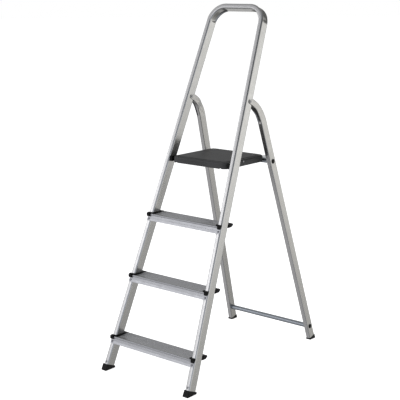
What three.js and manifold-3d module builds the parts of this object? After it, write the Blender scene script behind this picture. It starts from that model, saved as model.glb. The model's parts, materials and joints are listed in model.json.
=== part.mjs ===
// Folding aluminium platform steps with a high hoop handrail.
// Millimetres. +X to the user's right when facing the steps, +Y towards the rear legs, +Z up.
// The origin is on the floor, at the middle of the footprint.
import * as THREE from 'three';
import { mergeVertices } from 'three/addons/utils/BufferGeometryUtils.js';
import Module from 'manifold-3d';

const wasm = await Module();
wasm.setup();

// ---------- driving dimensions ----------
const deg = Math.PI / 180;
const GAP = 0.35;                 // clearance kept between touching pieces

// footprint
const FRONT_TO_ORIGIN = 432.8;     // front face line of the stiles on the floor to the origin

// front frame: one rectangular tube bent into a hoop
const LEAN = 22.2 * deg;          // stiles lean back from the vertical
const TAPER = 3.285 * deg;        // each stile leans towards the middle, in the frame's plane
const HALF_BASE = 229;            // half width over the stiles at floor level
const HOOP_HEIGHT = 1572.5;       // top of the hoop, measured along the lean
const STILE_WIDTH = 21;
const STILE_DEPTH = 44;
const STILE_WALL = 1.6;
const STILE_CORNER = 4;
const HOOP_BEND = 80;             // outer radius of the hoop's bends
const STILE_START = 21.5;         // cut end of each stile, along the lean

// treads
const TREAD_TOPS = [134.5, 375, 615.5];
const TREAD_REAR = 68;            // rear edge behind the stiles' front face line
const TREAD_PLATE = 2.4;
const TREAD_FLANGE = 12;
const FASCIA_DROP = 31.3;         // bottom of the fascia, down the lean from the tread's top
const FASCIA_THICK = 2;
const LUG_TOP = 10;               // top of the fascia where it laps over a stile
const GROOVES = 10;
const GROOVE_PITCH = 6.2;
const GROOVE_WIDTH = 2.2;
const GROOVE_DEPTH = 0.8;
const CAP_WEB = 5;                // end cap between a tread and a stile
const CAP_OVERHANG = 1.5;         // end cap past the stile's outer face

// rivets
const RIVET_HEAD = 4.6;
const RIVET_SHANK = 2.4;
const TREAD_RIVET_DROP = 23.4;    // below the tread's top, along the lean
const FOOT_RIVET_HEIGHT = 37;     // along the lean

// top hinge between the stiles and the rear legs
const HINGE_Y = 467.3;
const HINGE_Z = 1078.4;
const HINGE_PIN = 4;
const HINGE_HEAD = 6;

// rear legs
const LEG_LEAN = 16.75 * deg;
const LEG_TAPER = 3.394 * deg;
const LEG_HALF_BASE = 228.5;      // half width over the rear legs at floor level
const LEG_FOOT_Y = 850.7;         // centre line of a leg at floor level
const LEG_WIDTH = 20;
const LEG_DEPTH = 35;
const LEG_WALL = 1.5;
const LEG_CORNER = 3.5;
const LEG_BEND = 45 * deg;
const LEG_BEND_RADIUS = 140;
const LEG_START = 9.5;
const LEG_FLARE = 6.5;            // inner wall spread past the stile's inner face at the hinge
const FLARE_FULL = 50;            // distance from the hinge to where the spread starts to fall
const FLARE_END = 84;             // and to where it is gone
const TONGUE_RADIUS = 11;         // round ends of the leg's side walls about the hinge
const FOLD = 37 * deg;            // swing of the rear legs from open to folded
const BRACE_RADIUS = 10;
const BRACE_WALL = 1.5;
const LOWER_BRACE_Z = 61.6;
const UPPER_TUBE_Z = 822.5;

// platform
const PLATFORM_TOP = 848;
const PLATFORM_SKIRT = 820;
const PLATFORM_HALF = 142;
const PLATFORM_FRONT = 338;
const PLATFORM_REAR = 605;
const PLATFORM_EDGE = 8;          // rounding of the top edge
const PLATFORM_WALL = 3;
const PLATFORM_FRONT_CORNER = 30;
const PLATFORM_REAR_CORNER = 34;
const PIVOT_Y = 360;
const PIVOT_Z = 834;
const PIVOT_PIN = 4;
const BRACKET_OUTER = 132.9;
const BRACKET_THICK = 3;
const SIDE_RIVET_Y = 452;
const SIDE_RIVET_Z = 838;

// ---------- materials ----------
function material(color, roughness, metalness) {
  return new THREE.MeshStandardMaterial({ color, roughness, metalness });
}
const aluminium = material(0xc9c8c4, 0.38, 0.9);
const treadAluminium = material(0xa9a9aa, 0.42, 0.9);
const legAluminium = material(0xb4b2ac, 0.42, 0.9);
const tubeAluminium = material(0x9fa5ad, 0.35, 0.9);
const rivetSteel = material(0x8c8c90, 0.35, 0.9);
const bracketSteel = material(0xc4c8cc, 0.3, 0.9);
const capPlastic = material(0x111112, 0.5, 0);
const footRubber = material(0x0d0d0d, 0.75, 0);
const platformPlastic = material(0x444445, 0.55, 0);

// ---------- solids ----------
function solid(geometry) {
  const bare = geometry.clone();
  bare.deleteAttribute('normal');
  bare.deleteAttribute('uv');
  const merged = mergeVertices(bare, 1e-4);
  const vertProperties = new Float32Array(merged.attributes.position.array);
  const triVerts = new Uint32Array(merged.index.array);
  return new wasm.Manifold(new wasm.Mesh({ numProp: 3, vertProperties, triVerts }));
}

function geometryOf(body) {
  const mesh = body.getMesh();
  const geometry = new THREE.BufferGeometry();
  geometry.setAttribute('position', new THREE.BufferAttribute(new Float32Array(mesh.vertProperties), 3));
  geometry.setIndex(Array.from(mesh.triVerts));
  geometry.computeVertexNormals();
  return geometry;
}

function mirrored(geometry) {
  const copy = geometry.clone();
  copy.scale(-1, 1, 1);
  const index = Array.from(copy.index.array);
  for (let i = 0; i < index.length; i += 3) {
    const swap = index[i];
    index[i] = index[i + 1];
    index[i + 1] = swap;
  }
  copy.setIndex(index);
  copy.computeVertexNormals();
  return copy;
}

function shapeOf(points, hole) {
  const shape = new THREE.Shape(points.map(([x, y]) => new THREE.Vector2(x, y)));
  if (hole) {
    shape.holes.push(new THREE.Path(hole.map(([x, y]) => new THREE.Vector2(x, y))));
  }
  return shape;
}

// side outline given as [y, z] points, extruded from x0 to x1
function sidePrism(points, x0, x1) {
  const options = { depth: x1 - x0, bevelEnabled: false };
  const geometry = new THREE.ExtrudeGeometry(shapeOf(points), options);
  const basis = new THREE.Matrix4().makeBasis(
    new THREE.Vector3(0, 1, 0), new THREE.Vector3(0, 0, 1), new THREE.Vector3(1, 0, 0));
  geometry.applyMatrix4(basis);
  geometry.translate(x0, 0, 0);
  return geometry;
}

function cylinderX(radius, x0, x1, y, z, sides = 24) {
  const geometry = new THREE.CylinderGeometry(radius, radius, x1 - x0, sides);
  geometry.rotateZ(-Math.PI / 2);
  geometry.translate((x0 + x1) / 2, y, z);
  return geometry;
}

// solid of revolution about X, profile given as [x, radius] from axis to axis
function turnedX(profile, y, z, sides = 20) {
  const points = profile.map(([x, r]) => new THREE.Vector2(r, x));
  const geometry = new THREE.LatheGeometry(points, sides);
  geometry.rotateZ(-Math.PI / 2);
  geometry.translate(0, y, z);
  return geometry;
}

function roundedRectangle(width, height, radius, segments) {
  const points = [];
  const corners = [[1, 1, 0], [-1, 1, 1], [-1, -1, 2], [1, -1, 3]];
  for (const [sx, sy, quarter] of corners) {
    for (let i = 0; i <= segments; i += 1) {
      const angle = (quarter + i / segments) * Math.PI / 2;
      const x = sx * (width / 2 - radius) + radius * Math.cos(angle);
      const y = sy * (height / 2 - radius) + radius * Math.sin(angle);
      points.push([x, y]);
    }
  }
  return points;
}

function rectangle(width, height) {
  const x = width / 2;
  const y = height / 2;
  return [[x, y], [-x, y], [-x, -y], [x, -y]];
}

// ---------- bent tubes ----------
// a path with its own stations: one at each end of a straight and several round each bend
class StationPath extends THREE.Curve {
  constructor(stations) {
    super();
    this.stations = stations;
  }

  station(u) {
    return this.stations[Math.round(u * (this.stations.length - 1))];
  }

  getPoint(t, target = new THREE.Vector3()) {
    return target.copy(this.station(t).point);
  }

  getPointAt(u, target = new THREE.Vector3()) {
    return this.getPoint(u, target);
  }

  getTangentAt(u, target = new THREE.Vector3()) {
    return target.copy(this.station(u).tangent);
  }
}

// corners: plane points [a, b]; lift(a, b) maps a plane vector to space
function bentPath(corners, radius, segments, lift) {
  const plane = corners.map(([a, b]) => new THREE.Vector2(a, b));
  const stations = [];
  const add = (point, tangent) => {
    stations.push({ point: lift(point.x, point.y), tangent: lift(tangent.x, tangent.y).normalize() });
  };
  const first = plane[1].clone().sub(plane[0]).normalize();
  add(plane[0], first);
  for (let i = 1; i < plane.length - 1; i += 1) {
    const before = plane[i].clone().sub(plane[i - 1]).normalize();
    const after = plane[i + 1].clone().sub(plane[i]).normalize();
    const turn = Math.atan2(before.cross(after), before.dot(after));
    const reach = radius * Math.tan(Math.abs(turn) / 2);
    const start = plane[i].clone().addScaledVector(before, -reach);
    const side = new THREE.Vector2(-before.y, before.x).multiplyScalar(Math.sign(turn));
    const centre = start.clone().addScaledVector(side, radius);
    for (let j = 0; j <= segments; j += 1) {
      const angle = turn * j / segments;
      const spoke = start.clone().sub(centre).rotateAround(new THREE.Vector2(), angle);
      add(spoke.add(centre), before.clone().rotateAround(new THREE.Vector2(), angle));
    }
  }
  const last = plane.length - 1;
  add(plane[last], plane[last].clone().sub(plane[last - 1]).normalize());
  return new StationPath(stations);
}

function tubeAlong(path, shape) {
  const steps = path.stations.length - 1;
  return new THREE.ExtrudeGeometry(shape, { steps, bevelEnabled: false, extrudePath: path });
}

// ---------- the front frame's own plane: x, depth behind the front face, height along the lean ----------
const toLean = (y, z) => [
  y * Math.cos(LEAN) - z * Math.sin(LEAN),
  y * Math.sin(LEAN) + z * Math.cos(LEAN),
];
const outerHalf = (s) => HALF_BASE - s * Math.tan(TAPER);
const innerHalf = (s) => outerHalf(s) - STILE_WIDTH / Math.cos(TAPER);
const middleHalf = (s) => (outerHalf(s) + innerHalf(s)) / 2;

// a box that follows the right stile from s0 to s1, grown by the given margins
function stileBox(s0, s1, outward, inward, front, rear) {
  const points = [
    [innerHalf(s0) - inward, s0],
    [outerHalf(s0) + outward, s0],
    [outerHalf(s1) + outward, s1],
    [innerHalf(s1) - inward, s1],
  ];
  const depth = STILE_DEPTH + front + rear;
  const geometry = new THREE.ExtrudeGeometry(shapeOf(points), { depth, bevelEnabled: false });
  geometry.rotateX(Math.PI / 2);
  geometry.translate(0, STILE_DEPTH + rear, 0);
  return geometry;
}

const root = new THREE.Group();
root.position.y = -FRONT_TO_ORIGIN;
const leaning = new THREE.Group();
leaning.rotation.x = -LEAN;
root.add(leaning);

function addMesh(parent, name, geometry, look) {
  const mesh = new THREE.Mesh(geometry, look);
  mesh.name = name;
  parent.add(mesh);
  return mesh;
}

function addPair(parent, name, geometry, look) {
  const indexed = geometry.index ? geometry : mergeVertices(geometry);
  addMesh(parent, `${name}_right`, indexed, look);
  addMesh(parent, `${name}_left`, mirrored(indexed), look);
}

// ---------- front frame ----------
const [HINGE_DEPTH, HINGE_S] = toLean(HINGE_Y, HINGE_Z);
const HINGE_TO_REAR = STILE_DEPTH - HINGE_DEPTH;
const [PIVOT_DEPTH, PIVOT_S] = toLean(PIVOT_Y, PIVOT_Z);

function frontRivetHeights() {
  const heights = [FOOT_RIVET_HEIGHT];
  for (const top of TREAD_TOPS) {
    heights.push(top / Math.cos(LEAN) - TREAD_RIVET_DROP);
  }
  return heights;
}

function rivetHole(radius, s, depth0, depth1) {
  const geometry = new THREE.CylinderGeometry(radius, radius, depth1 - depth0, 16);
  geometry.translate(middleHalf(s), (depth0 + depth1) / 2, s);
  return geometry;
}

function frontFrame() {
  const barS = HOOP_HEIGHT - STILE_WIDTH / 2;
  const corners = [
    [-middleHalf(STILE_START), STILE_START],
    [-middleHalf(barS), barS],
    [middleHalf(barS), barS],
    [middleHalf(STILE_START), STILE_START],
  ];
  const lift = (x, s) => new THREE.Vector3(x, 0, s);
  const path = bentPath(corners, HOOP_BEND - STILE_WIDTH / 2, 9, lift);
  const outline = roundedRectangle(STILE_DEPTH, STILE_WIDTH, STILE_CORNER, 3);
  const bore = rectangle(STILE_DEPTH - 2 * STILE_WALL, STILE_WIDTH - 2 * STILE_WALL);
  const tube = tubeAlong(path, shapeOf(outline, bore));
  tube.translate(0, STILE_DEPTH / 2, 0);
  const cuts = [];
  for (const s of frontRivetHeights()) {
    cuts.push(rivetHole(RIVET_SHANK + GAP, s, -2, STILE_WALL + 1));
  }
  cuts.push(cylinderX(HINGE_PIN + GAP, 120, 180, HINGE_DEPTH, HINGE_S));
  cuts.push(cylinderX(PIVOT_PIN + GAP, 140, 165, PIVOT_DEPTH, PIVOT_S));
  let body = solid(tube);
  for (const cut of cuts) {
    const indexed = mergeVertices(cut);
    body = body.subtract(solid(indexed)).subtract(solid(mirrored(indexed)));
  }
  return geometryOf(body);
}
addMesh(leaning, 'front_frame', frontFrame(), aluminium);

// ---------- front feet: level sole, top edge square to the stile ----------
function frontFoot() {
  const sole = [toLean(-4.5, 0), toLean(50.5, 0)];
  const topS = 27;
  const outline = [sole[0], sole[1], [STILE_DEPTH + 2.5, topS], [-2.5, topS]];
  const middle = middleHalf(15);
  const half = STILE_WIDTH / 2 + 3;
  const shell = solid(sidePrism(outline, middle - half, middle + half));
  const socket = solid(stileBox(STILE_START - 1.2, 60, GAP, GAP, GAP, GAP));
  const margin = -STILE_WALL - 0.6;
  const plug = solid(stileBox(STILE_START - 1.8, STILE_START + 5, margin, margin, margin, margin));
  return geometryOf(shell.subtract(socket).add(plug));
}
addPair(leaning, 'front_foot', frontFoot(), footRubber);

// ---------- treads ----------
function alongFascia(drop, forward) {
  const y = -drop * Math.sin(LEAN) - forward * Math.cos(LEAN);
  const z = -drop * Math.cos(LEAN) + forward * Math.sin(LEAN);
  return [y, z];
}

function treadOutline() {
  const underside = (TREAD_PLATE + GAP * Math.sin(LEAN)) / Math.cos(LEAN);
  const points = [
    alongFascia(FASCIA_DROP, GAP + FASCIA_THICK),
    alongFascia(FASCIA_DROP, GAP),
    alongFascia(underside, GAP),
    [TREAD_REAR - 2, -TREAD_PLATE],
    [TREAD_REAR - 2, -TREAD_FLANGE],
    [TREAD_REAR, -TREAD_FLANGE],
    [TREAD_REAR, -0.6],
    [TREAD_REAR - 0.6, 0],
  ];
  for (let i = 0; i < GROOVES; i += 1) {
    const rear = TREAD_REAR - 3 - i * GROOVE_PITCH;
    points.push([rear, 0], [rear - 0.3, -GROOVE_DEPTH]);
    points.push([rear - GROOVE_WIDTH + 0.3, -GROOVE_DEPTH], [rear - GROOVE_WIDTH, 0]);
  }
  points.push([-3, 0], [-5.8, -0.9], [-7.4, -3], [-7.6, -5.6], [-6.6, -7.4]);
  points.push(alongFascia(9.2, GAP + FASCIA_THICK));
  return points;
}

function fasciaOutline() {
  return [
    alongFascia(FASCIA_DROP, GAP + FASCIA_THICK),
    alongFascia(FASCIA_DROP, GAP),
    alongFascia(LUG_TOP, GAP),
    alongFascia(LUG_TOP, GAP + FASCIA_THICK),
  ];
}

function placed(outline, top) {
  const front = top * Math.tan(LEAN);
  return outline.map(([y, z]) => toLean(front + y, top + z));
}

function tread(top) {
  const s = top / Math.cos(LEAN);
  const half = innerHalf(s + 6) - CAP_WEB - 2 * GAP;
  const lug = outerHalf(s) - 0.5;
  let body = solid(sidePrism(placed(treadOutline(), top), -half, half));
  body = body.add(solid(sidePrism(placed(fasciaOutline(), top), -lug, lug)));
  const hole = mergeVertices(rivetHole(RIVET_SHANK + GAP, s - TREAD_RIVET_DROP, -6, 2));
  body = body.subtract(solid(hole)).subtract(solid(mirrored(hole)));
  return geometryOf(body);
}

function treadCap(top) {
  const outline = [
    [-10.5, -7.6], [1, -7.6], [5, -14], [62, -14], [73, -6],
    [71, -1.5], [64, 2], [-1, 5], [-9, 5], [-10.5, 3.5],
  ];
  const s = top / Math.cos(LEAN);
  const inner = innerHalf(s + 6) - CAP_WEB - GAP;
  const outer = outerHalf(s) + CAP_OVERHANG;
  const blank = solid(sidePrism(placed(outline, top), inner, outer));
  const stile = solid(stileBox(s - 60, s + 60, 30, GAP, GAP, GAP));
  return geometryOf(blank.subtract(stile));
}

// round head on the front face, shank through the wall behind it
function frontRivet(s, seat) {
  const reach = STILE_WALL + 0.6;
  const profile = [
    [0, -reach], [RIVET_SHANK, -reach], [RIVET_SHANK, seat], [RIVET_HEAD, seat],
    [RIVET_HEAD * 0.92, seat + 0.9], [RIVET_HEAD * 0.6, seat + 1.7], [0, seat + 2],
  ];
  const points = profile.map(([r, h]) => new THREE.Vector2(r, h));
  const geometry = new THREE.LatheGeometry(points, 16);
  geometry.rotateX(Math.PI);
  geometry.translate(middleHalf(s), 0, s);
  return geometry;
}

TREAD_TOPS.forEach((top, i) => {
  const number = i + 1;
  addMesh(leaning, `tread_${number}`, tread(top), treadAluminium);
  addPair(leaning, `tread_${number}_cap`, treadCap(top), capPlastic);
  const s = top / Math.cos(LEAN) - TREAD_RIVET_DROP;
  addPair(leaning, `tread_${number}_rivet`, frontRivet(s, 2 * GAP + FASCIA_THICK), rivetSteel);
});
addPair(leaning, 'foot_rivet', frontRivet(FOOT_RIVET_HEIGHT, GAP), rivetSteel);

// ---------- rear legs ----------
// a leg's own plane: x = 0 on its outer face, y to the rear, z up the leg's inward tilt
const LEG_SCALE = Math.cos(LEG_TAPER);
const legZ = (z) => z / LEG_SCALE;
const legOuter = (z) => LEG_HALF_BASE - z * Math.tan(LEG_TAPER);

function legCorners(end) {
  const foot = new THREE.Vector2(LEG_FOOT_Y, 0);
  const up = new THREE.Vector2(-Math.sin(LEG_LEAN), Math.cos(LEG_LEAN));
  const hinge = new THREE.Vector2(HINGE_Y, legZ(HINGE_Z));
  const along = hinge.clone().sub(foot).dot(up);
  const offset = Math.abs(hinge.clone().sub(foot).cross(up));
  const corner = foot.clone().addScaledVector(up, along - offset / Math.tan(LEG_BEND));
  const forward = hinge.clone().sub(corner).normalize();
  const start = foot.clone().addScaledVector(up, LEG_START);
  const tip = hinge.clone().addScaledVector(forward, end);
  return [start, corner, tip].map((p) => [p.x, p.y]);
}

// room between the leg's side walls for the stile, with the leg folded by the given angle
function stileRoom(fold) {
  const far = 400;
  const face = HINGE_TO_REAR + 0.9;
  const up = [Math.sin(LEAN - fold), Math.cos(LEAN - fold)];
  const back = [Math.cos(LEAN - fold), -Math.sin(LEAN - fold)];
  const at = (u, b) => [
    HINGE_Y + u * up[0] + b * back[0],
    legZ(HINGE_Z) + u * up[1] + b * back[1],
  ];
  const outline = [at(-far, -far), at(-far, face), at(far, face), at(far, -far)];
  return sidePrism(outline, -LEG_WIDTH - LEG_FLARE + LEG_WALL, -LEG_WALL);
}

// side outline that rounds the leg's end about the hinge and stays clear of the rest
function endOutline() {
  const lift = (y, z) => new THREE.Vector3(0, y, z);
  const path = bentPath(legCorners(0), LEG_BEND_RADIUS, 8, lift);
  const last = path.stations.length - 1;
  const front = [];
  const rear = [];
  path.stations.forEach(({ point, tangent }, i) => {
    const reach = i === last ? TONGUE_RADIUS : LEG_DEPTH / 2 + 3;
    const back = i === 0 ? 20 : 0;
    const y = point.y - back * tangent.y;
    const z = point.z - back * tangent.z;
    front.push([y - reach * tangent.z, z + reach * tangent.y]);
    rear.push([y + reach * tangent.z, z - reach * tangent.y]);
  });
  const { point, tangent } = path.stations[last];
  const round = [];
  for (let i = 1; i < 8; i += 1) {
    const angle = Math.PI / 2 - i * Math.PI / 8;
    const c = Math.cos(angle) * TONGUE_RADIUS;
    const s = Math.sin(angle) * TONGUE_RADIUS;
    round.push([point.y + c * tangent.y - s * tangent.z, point.z + c * tangent.z + s * tangent.y]);
  }
  return [...front, ...round, ...rear.reverse()];
}

// pushes the inner half of the tube towards the middle near the hinge
function spreadInnerWall(geometry) {
  const position = geometry.attributes.position;
  for (let i = 0; i < position.count; i += 1) {
    const reach = Math.hypot(position.getY(i) - HINGE_Y, position.getZ(i) - legZ(HINGE_Z));
    const share = 1 - THREE.MathUtils.smoothstep(reach, FLARE_FULL, FLARE_END);
    if (position.getX(i) < -LEG_WIDTH / 2) {
      position.setX(i, position.getX(i) - LEG_FLARE * share);
    }
  }
}

function rearLeg() {
  const lift = (y, z) => new THREE.Vector3(0, y, z);
  const path = bentPath(legCorners(TONGUE_RADIUS + 2), LEG_BEND_RADIUS, 10, lift);
  const outline = roundedRectangle(LEG_WIDTH, LEG_DEPTH, LEG_CORNER, 3);
  const bore = rectangle(LEG_WIDTH - 2 * LEG_WALL, LEG_DEPTH - 2 * LEG_WALL);
  const tube = tubeAlong(path, shapeOf(outline, bore));
  tube.translate(-LEG_WIDTH / 2, 0, 0);
  spreadInnerWall(tube);
  let body = solid(tube);
  body = body.subtract(solid(stileRoom(0)));
  body = body.subtract(solid(stileRoom(FOLD + 1.5 * deg)));
  body = body.intersect(solid(sidePrism(endOutline(), -60, 20)));
  body = body.subtract(solid(levelBore(HINGE_PIN + GAP, HINGE_Y, HINGE_Z)));
  for (const z of [LOWER_BRACE_Z, UPPER_TUBE_Z]) {
    body = body.subtract(solid(levelBore(BRACE_RADIUS + 0.45, legCentreY(z), z)));
  }
  return geometryOf(body);
}

// a bore that stays level across the tilted leg
function levelBore(radius, y, z) {
  const geometry = cylinderX(radius, -45, 25, 0, 0, 32);
  geometry.rotateY(LEG_TAPER);
  geometry.translate(0, y, legZ(z));
  return geometry;
}

function legCentreY(z) {
  return LEG_FOOT_Y - legZ(z) * Math.tan(LEG_LEAN);
}

function addLegPair(name, geometry, look) {
  const indexed = geometry.index ? geometry : mergeVertices(geometry);
  for (const side of [1, -1]) {
    const tilt = new THREE.Group();
    tilt.position.x = side * LEG_HALF_BASE;
    tilt.rotation.y = -side * LEG_TAPER;
    root.add(tilt);
    const suffix = side > 0 ? 'right' : 'left';
    addMesh(tilt, `${name}_${suffix}`, side > 0 ? indexed : mirrored(indexed), look);
  }
}

// a pad under the leg's end, its top edge square to the leg, with a plug up the tube
function rearFoot() {
  const along = (s, d) => [
    LEG_FOOT_Y - s * Math.sin(LEG_LEAN) + d * Math.cos(LEG_LEAN),
    s * Math.cos(LEG_LEAN) + d * Math.sin(LEG_LEAN),
  ];
  const half = LEG_DEPTH / 2;
  const foot = half / Math.cos(LEG_LEAN) + 1.8;
  const top = LEG_START + 2.5;
  const pad = [
    [LEG_FOOT_Y - foot, -3], [LEG_FOOT_Y + foot, -3], along(top, half + 1.6), along(top, -half - 1.6),
  ];
  const floor = new THREE.BoxGeometry(120, 120, 40);
  floor.translate(0, 0, -20);
  floor.rotateY(LEG_TAPER);
  floor.translate(0, LEG_FOOT_Y, 0);
  const shell = solid(sidePrism(pad, -LEG_WIDTH - 1.6, 1.6));
  const seat = LEG_START - GAP;
  const socketOutline = [
    along(seat, -half - GAP), along(seat, half + GAP), along(60, half + GAP), along(60, -half - GAP),
  ];
  const socket = solid(sidePrism(socketOutline, -LEG_WIDTH - GAP, GAP));
  const inside = half - LEG_WALL - 0.6;
  const plugOutline = [
    along(seat - 1, -inside), along(seat - 1, inside),
    along(LEG_START + 16, inside), along(LEG_START + 16, -inside),
  ];
  const plug = solid(sidePrism(plugOutline, -LEG_WIDTH + LEG_WALL + 0.6, -LEG_WALL - 0.6));
  return geometryOf(shell.subtract(socket).add(plug).subtract(solid(floor)));
}

addLegPair('rear_leg', rearLeg(), legAluminium);
addLegPair('rear_foot', rearFoot(), footRubber);

// ---------- cross tubes of the rear frame ----------
function crossTube(z) {
  const half = legOuter(z) + 0.6;
  const outline = new THREE.Shape().absarc(0, 0, BRACE_RADIUS, 0, 2 * Math.PI);
  const bore = new THREE.Path().absarc(0, 0, BRACE_RADIUS - BRACE_WALL, 0, 2 * Math.PI);
  outline.holes.push(bore);
  const options = { depth: 2 * half, bevelEnabled: false, curveSegments: 24 };
  const geometry = new THREE.ExtrudeGeometry(outline, options);
  geometry.rotateY(Math.PI / 2);
  geometry.translate(-half, legCentreY(z), z);
  return geometry;
}

function tubePlug(z) {
  const face = legOuter(z) + 0.6;
  const inside = BRACE_RADIUS - BRACE_WALL - GAP;
  const profile = [
    [face - 12, 0], [face - 12, inside], [face + GAP, inside], [face + GAP, 9.2],
    [face + 1.2, 9], [face + 2.2, 6.5], [face + 2.6, 0],
  ];
  return turnedX(profile, legCentreY(z), z);
}

addMesh(root, 'lower_brace', crossTube(LOWER_BRACE_Z), tubeAluminium);
addMesh(root, 'upper_cross_tube', crossTube(UPPER_TUBE_Z), tubeAluminium);
addPair(root, 'lower_brace_plug', tubePlug(LOWER_BRACE_Z), capPlastic);
addPair(root, 'upper_tube_plug', tubePlug(UPPER_TUBE_Z), capPlastic);

// ---------- hinge pins at the top of the rear legs ----------
function hingePin() {
  const inner = legOuter(HINGE_Z) - LEG_WIDTH - LEG_FLARE - 0.7;
  const outer = legOuter(HINGE_Z) + 1.1;
  const profile = [
    [inner - 1.4, 0], [inner - 1.1, 4.2], [inner, 5.2], [inner, HINGE_PIN], [outer, HINGE_PIN],
    [outer, HINGE_HEAD], [outer + 1.4, HINGE_HEAD * 0.85], [outer + 2.2, HINGE_HEAD * 0.45], [outer + 2.4, 0],
  ];
  return turnedX(profile, HINGE_Y, HINGE_Z);
}
addPair(root, 'hinge_pin', hingePin(), rivetSteel);

// ---------- platform ----------
// plan outline with front corners of one radius and rear corners of another
function planOutline(inset) {
  const half = PLATFORM_HALF - inset;
  const corners = [
    [half, PLATFORM_FRONT + inset, PLATFORM_FRONT_CORNER, -90],
    [half, PLATFORM_REAR - inset, PLATFORM_REAR_CORNER, 0],
    [-half, PLATFORM_REAR - inset, PLATFORM_REAR_CORNER, 90],
    [-half, PLATFORM_FRONT + inset, PLATFORM_FRONT_CORNER, 180],
  ];
  const points = [];
  for (const [x, y, full, start] of corners) {
    const radius = full - inset;
    const cx = x - Math.sign(x) * radius;
    const cy = y + (y < 450 ? radius : -radius);
    for (let i = 0; i <= 6; i += 1) {
      const angle = (start + i * 15) * deg;
      points.push([cx + radius * Math.cos(angle), cy + radius * Math.sin(angle)]);
    }
  }
  return points;
}

function skirtNotch(x) {
  const geometry = new THREE.BoxGeometry(9, 14, 5);
  geometry.translate(x, PLATFORM_FRONT + 2, PLATFORM_SKIRT);
  return geometry;
}

function platformBody() {
  const rounding = {
    depth: 30,
    bevelEnabled: true,
    bevelThickness: PLATFORM_EDGE,
    bevelSize: PLATFORM_EDGE,
    bevelSegments: 3,
  };
  const blank = new THREE.ExtrudeGeometry(shapeOf(planOutline(PLATFORM_EDGE)), rounding);
  blank.translate(0, 0, PLATFORM_TOP - PLATFORM_EDGE - 30);
  const below = new THREE.BoxGeometry(400, 400, 40);
  below.translate(0, 470, PLATFORM_SKIRT - 20);
  const room = { depth: 60, bevelEnabled: false };
  const cavity = new THREE.ExtrudeGeometry(shapeOf(planOutline(PLATFORM_WALL)), room);
  cavity.translate(0, 0, PLATFORM_TOP - 3.5 - 60);
  const tubeY = legCentreY(UPPER_TUBE_Z);
  const tubeRoom = cylinderX(11, -200, 200, tubeY, UPPER_TUBE_Z);
  const wayOut = sidePrism([
    [tubeY - 9.9, UPPER_TUBE_Z + 4.7], [tubeY - 23, UPPER_TUBE_Z - 22],
    [tubeY + 10, UPPER_TUBE_Z - 22], [tubeY + 10, UPPER_TUBE_Z],
  ], -200, 200);
  let body = solid(blank).subtract(solid(below)).subtract(solid(cavity));
  for (const x of [-40, 40]) {
    const rib = new THREE.BoxGeometry(3, 232, 14);
    rib.translate(x, (PLATFORM_FRONT + PLATFORM_REAR) / 2 - 14.5, PLATFORM_TOP - 9);
    body = body.add(solid(rib));
  }
  body = body.subtract(solid(tubeRoom)).subtract(solid(wayOut));
  for (const side of [1, -1]) {
    const edge = side * (PLATFORM_HALF - 8);
    const low = Math.min(edge, side * 150);
    const high = Math.max(edge, side * 150);
    body = body.subtract(solid(cylinderX(PIVOT_PIN + GAP, low, high, PIVOT_Y, PIVOT_Z)));
    const rivetBore = cylinderX(RIVET_SHANK + GAP, low, high, SIDE_RIVET_Y, SIDE_RIVET_Z, 16);
    body = body.subtract(solid(rivetBore));
    body = body.subtract(solid(skirtNotch(side * 114)));
    const slot = new THREE.BoxGeometry(BRACKET_THICK + 2 * GAP, 50, 26);
    slot.translate(side * (BRACKET_OUTER - BRACKET_THICK / 2), PLATFORM_REAR, PIVOT_Z - 4.15);
    body = body.subtract(solid(slot));
  }
  return geometryOf(body);
}
addMesh(root, 'platform', platformBody(), platformPlastic);

// flat bar inside each side skirt, with a hook that sits over the upper cross tube
function platformBracket() {
  const tubeY = legCentreY(UPPER_TUBE_Z);
  const tubeZ = UPPER_TUBE_Z;
  const points = [];
  for (let i = 0; i <= 8; i += 1) {
    const angle = (90 + i * 22.5) * deg;
    points.push([PIVOT_Y + 8.5 * Math.cos(angle), PIVOT_Z + 8.5 * Math.sin(angle)]);
  }
  points.push([tubeY - 14, PIVOT_Z - 8.5]);
  for (let i = 0; i <= 8; i += 1) {
    const angle = (158 - i * 19.75) * deg;
    points.push([tubeY + 10.6 * Math.cos(angle), tubeZ + 10.6 * Math.sin(angle)]);
  }
  points.push([tubeY + 10.6, tubeZ - 3], [tubeY + 15, tubeZ - 3]);
  points.push([tubeY + 15, tubeZ + 12], [tubeY + 9, PIVOT_Z + 8.5]);
  let body = solid(sidePrism(points, BRACKET_OUTER - BRACKET_THICK, BRACKET_OUTER));
  body = body.subtract(solid(cylinderX(PIVOT_PIN + GAP, 120, 150, PIVOT_Y, PIVOT_Z)));
  const rivetBore = cylinderX(RIVET_SHANK + GAP, 120, 150, SIDE_RIVET_Y, SIDE_RIVET_Z, 16);
  return geometryOf(body.subtract(solid(rivetBore)));
}
addPair(root, 'platform_bracket', platformBracket(), bracketSteel);

function sideRivet() {
  const face = PLATFORM_HALF + GAP;
  const profile = [
    [BRACKET_OUTER - BRACKET_THICK, 0], [BRACKET_OUTER - BRACKET_THICK, RIVET_SHANK], [face, RIVET_SHANK],
    [face, RIVET_HEAD], [face + 1, RIVET_HEAD * 0.9], [face + 1.7, RIVET_HEAD * 0.5], [face + 1.9, 0],
  ];
  return turnedX(profile, SIDE_RIVET_Y, SIDE_RIVET_Z, 16);
}
addPair(root, 'platform_rivet', sideRivet(), rivetSteel);

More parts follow.
